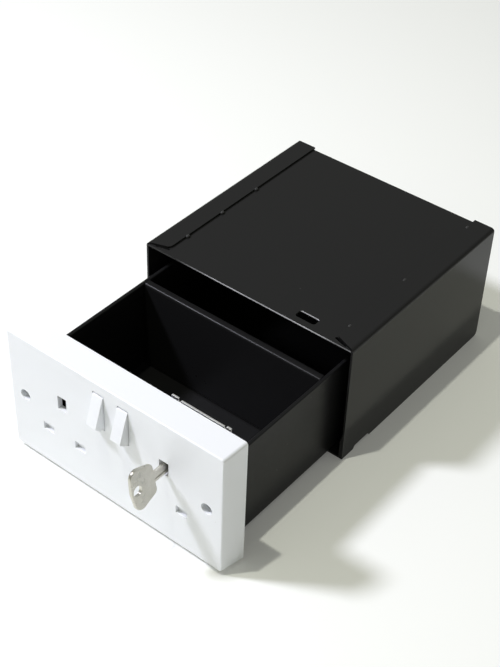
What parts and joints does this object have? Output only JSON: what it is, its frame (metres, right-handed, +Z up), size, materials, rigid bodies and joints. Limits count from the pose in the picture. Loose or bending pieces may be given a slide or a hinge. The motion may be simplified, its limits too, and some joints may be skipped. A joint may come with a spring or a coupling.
{
  "type": "wall socket diversion safe",
  "caption": "Small safe disguised as a double wall socket: a steel drawer behind a plastic socket plate slides in a steel housing and is locked by a key in one earth slot.",
  "frame": {"origin": "middle of the housing's base, on the underside of its base sheet", "axes": "+X to the right and +Y into the wall as seen from the front, +Z up"},
  "size_m": [0.15, 0.2714, 0.0846],
  "materials": {
    "black_coat": "semi-gloss black powder coat with a fine orange peel",
    "drawer_coat": "satin black powder coat, rubbed along the top edges",
    "white_plastic": "gloss white moulded plastic",
    "zinc_plate": "bright zinc plate",
    "brass": "machined brass",
    "nickel_plate": "nickel plate, lightly scratched"
  },
  "bodies": {
    "housing": {"housing_wrap": "black_coat", "left_side_panel": "black_coat", "right_side_panel": "black_coat", "left_tack_weld_1": "black_coat", "left_tack_weld_2": "black_coat", "left_tack_weld_3": "black_coat", "right_tack_weld_1": "black_coat", "right_tack_weld_2": "black_coat", "right_tack_weld_3": "black_coat"},
    "drawer": {"socket_plate": "white_plastic", "left_plate_screw": "zinc_plate", "right_plate_screw": "zinc_plate", "carrier_plate": "drawer_coat", "drawer_channel": "drawer_coat", "divider": "drawer_coat", "rear_wall": "drawer_coat", "lock_barrel": "zinc_plate", "lock_nut": "zinc_plate", "lock_guard": "zinc_plate", "left_guard_rivet": "zinc_plate", "right_guard_rivet": "zinc_plate"},
    "lock_core": {"lock_plug": "brass", "lock_wafer_1": "brass", "lock_wafer_2": "brass", "lock_wafer_3": "brass", "lock_wafer_4": "brass", "lock_wafer_5": "brass", "cam_washer": "zinc_plate", "lock_cam": "zinc_plate", "cam_screw": "zinc_plate"},
    "key": {"key": "nickel_plate"},
    "left_switch": {"left_rocker": "white_plastic"},
    "right_switch": {"right_rocker": "white_plastic"}
  },
  "joints": [
    {"name": "drawer_slide", "type": "slide", "parent": "housing", "child": "drawer", "axis": [0, -1, 0], "range_m": [-0.0904, 0.045]},
    {"name": "lock_turn", "type": "hinge", "parent": "drawer", "child": "lock_core", "pos_m": [0.03504, -0.1768, 0.05261], "axis": [0, 1, 0], "range_deg": [-78, 12]},
    {"name": "key_pull", "type": "slide", "parent": "lock_core", "child": "key", "axis": [0, -1, 0], "range_m": [0, 0.03]},
    {"name": "left_switch_rock", "type": "hinge", "parent": "drawer", "child": "left_switch", "pos_m": [-0.00831, -0.1743, 0.06445], "axis": [1, 0, 0], "range_deg": [0, 38.8]},
    {"name": "right_switch_rock", "type": "hinge", "parent": "drawer", "child": "right_switch", "pos_m": [0.00831, -0.1743, 0.06445], "axis": [1, 0, 0], "range_deg": [0, 38.8]}
  ]
}
